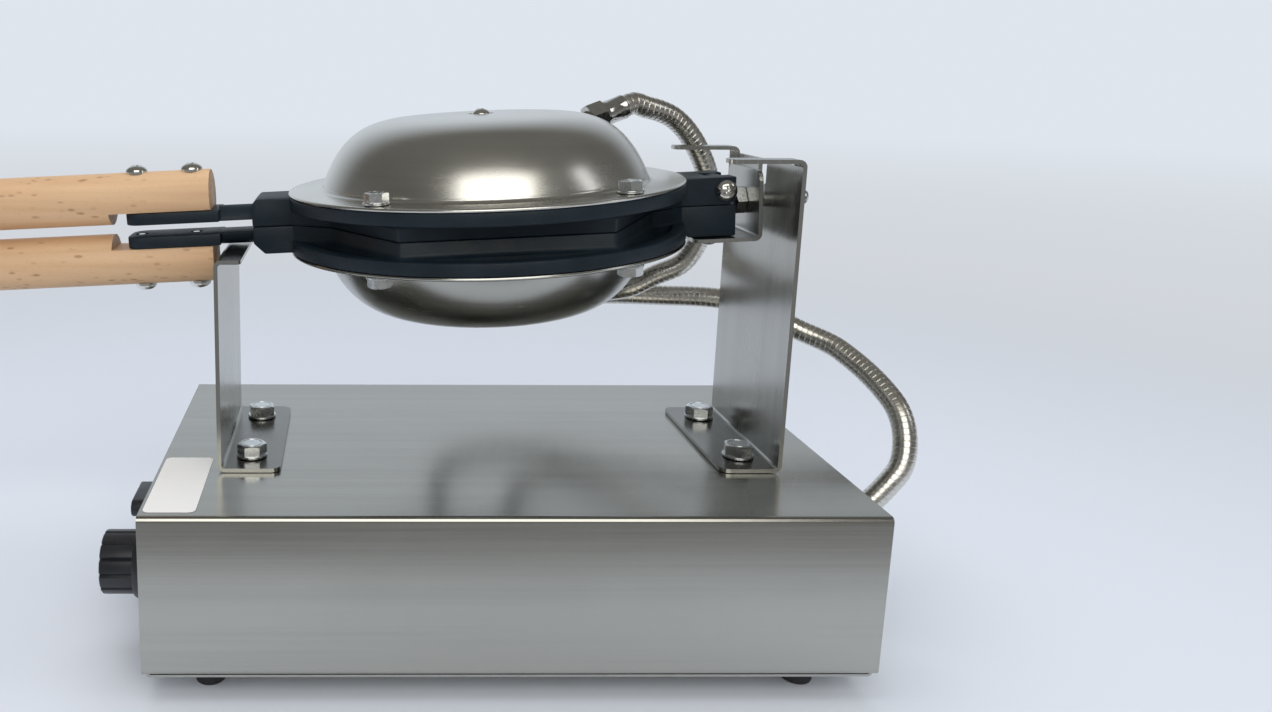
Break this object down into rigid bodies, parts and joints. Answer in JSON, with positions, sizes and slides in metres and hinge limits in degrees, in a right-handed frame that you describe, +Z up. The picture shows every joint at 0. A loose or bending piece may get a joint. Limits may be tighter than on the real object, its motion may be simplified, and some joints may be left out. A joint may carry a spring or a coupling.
{
  "type": "bubble waffle maker",
  "caption": "Countertop bubble waffle maker: a folded steel base with two stands carries hinged round moulds with wooden handles that lift, flip over and open.",
  "frame": {"origin": "middle of the footprint at the feet's undersides, with the conduits left out", "axes": "+Z up, +X from the handles towards the hinge end, +Y away from the side that the picture shows"},
  "size_m": [0.5846, 0.2248, 0.2755],
  "materials": {
    "sheet_steel": "brushed stainless sheet",
    "dome_steel": "spun and satin polished",
    "zinc": "zinc plated",
    "chrome": "chrome plated",
    "handle_screw": "nickel plated",
    "casting": "black non-stick coating on a casting",
    "beech": "turned beech",
    "black_plastic": "satin moulding",
    "rubber": "matt",
    "printed_plate": "satin film on sheet",
    "gland_metal": "dark plated",
    "heater_metal": "oxidised tube",
    "lamp_lens": "clear red",
    "terminal_white": "moulded"
  },
  "bodies": {
    "base": {"base_cover": "sheet_steel", "base_tray": "sheet_steel", "control_plate": "printed_plate", "foot_1": "rubber", "foot_2": "rubber", "foot_3": "rubber", "foot_4": "rubber", "front_upright": "sheet_steel", "rear_upright": "sheet_steel", "upright_bolt_1": "zinc", "upright_bolt_2": "zinc", "upright_bolt_3": "zinc", "upright_bolt_4": "zinc", "base_gland": "gland_metal", "mains_gland": "black_plastic", "supply_conduit": "chrome", "thermostat_body": "black_plastic", "timer_body": "black_plastic", "power_lamp": "lamp_lens", "heat_lamp": "lamp_lens", "terminal_block": "terminal_white"},
    "pivot": {"pivot_bolt": "zinc", "pivot_spacer_nut": "zinc", "pivot_washer": "zinc", "pivot_end_nut": "zinc"},
    "lower_head": {"head_bracket": "sheet_steel", "bracket_screw_1": "zinc", "bracket_screw_2": "zinc", "hinge_pin": "chrome", "hinge_nut": "chrome", "lower_mould": "casting", "lower_cover": "dome_steel", "lower_heater": "heater_metal", "lower_cover_bolt_1": "zinc", "lower_cover_bolt_2": "zinc", "lower_cover_bolt_3": "zinc", "lower_cover_bolt_4": "zinc", "lower_centre_screw": "zinc", "lower_handle": "beech", "lower_handle_screw_1": "handle_screw", "lower_handle_screw_2": "handle_screw", "lower_loop_gland": "gland_metal", "lower_supply_gland": "gland_metal", "loop_conduit": "chrome"},
    "upper_head": {"upper_mould": "casting", "upper_cover": "dome_steel", "upper_heater": "heater_metal", "upper_cover_bolt_1": "zinc", "upper_cover_bolt_2": "zinc", "upper_cover_bolt_3": "zinc", "upper_cover_bolt_4": "zinc", "upper_centre_screw": "zinc", "upper_handle": "beech", "upper_handle_screw_1": "handle_screw", "upper_handle_screw_2": "handle_screw", "upper_gland": "gland_metal"},
    "thermostat_control": {"thermostat_knob": "black_plastic", "thermostat_spindle": "zinc"},
    "timer_control": {"timer_knob": "black_plastic", "timer_spindle": "zinc"}
  },
  "joints": [
    {"name": "head_lift", "type": "hinge", "parent": "base", "child": "pivot", "pos_m": [0.22435, 0, 0.2228], "axis": [0, 1, 0], "range_deg": [0, 10]},
    {"name": "head_flip", "type": "hinge", "parent": "pivot", "child": "lower_head", "pos_m": [0.22435, 0, 0.2228], "axis": [0.9986, 0, 0.0523], "range_deg": [-180, 0], "deforming": ["loop_conduit", "supply_conduit"]},
    {"name": "mould_open", "type": "hinge", "parent": "lower_head", "child": "upper_head", "pos_m": [0.1994, 0, 0.2287], "axis": [0, 1, 0], "range_deg": [0, 100]},
    {"name": "thermostat_turn", "type": "hinge", "parent": "base", "child": "thermostat_control", "pos_m": [-0.08435, -0.061, 0.051], "axis": [-1, 0, 0], "range_deg": [-270, 0]},
    {"name": "timer_turn", "type": "hinge", "parent": "base", "child": "timer_control", "pos_m": [-0.08435, 0.013, 0.051], "axis": [-1, 0, 0], "range_deg": [-270, 0]}
  ]
}
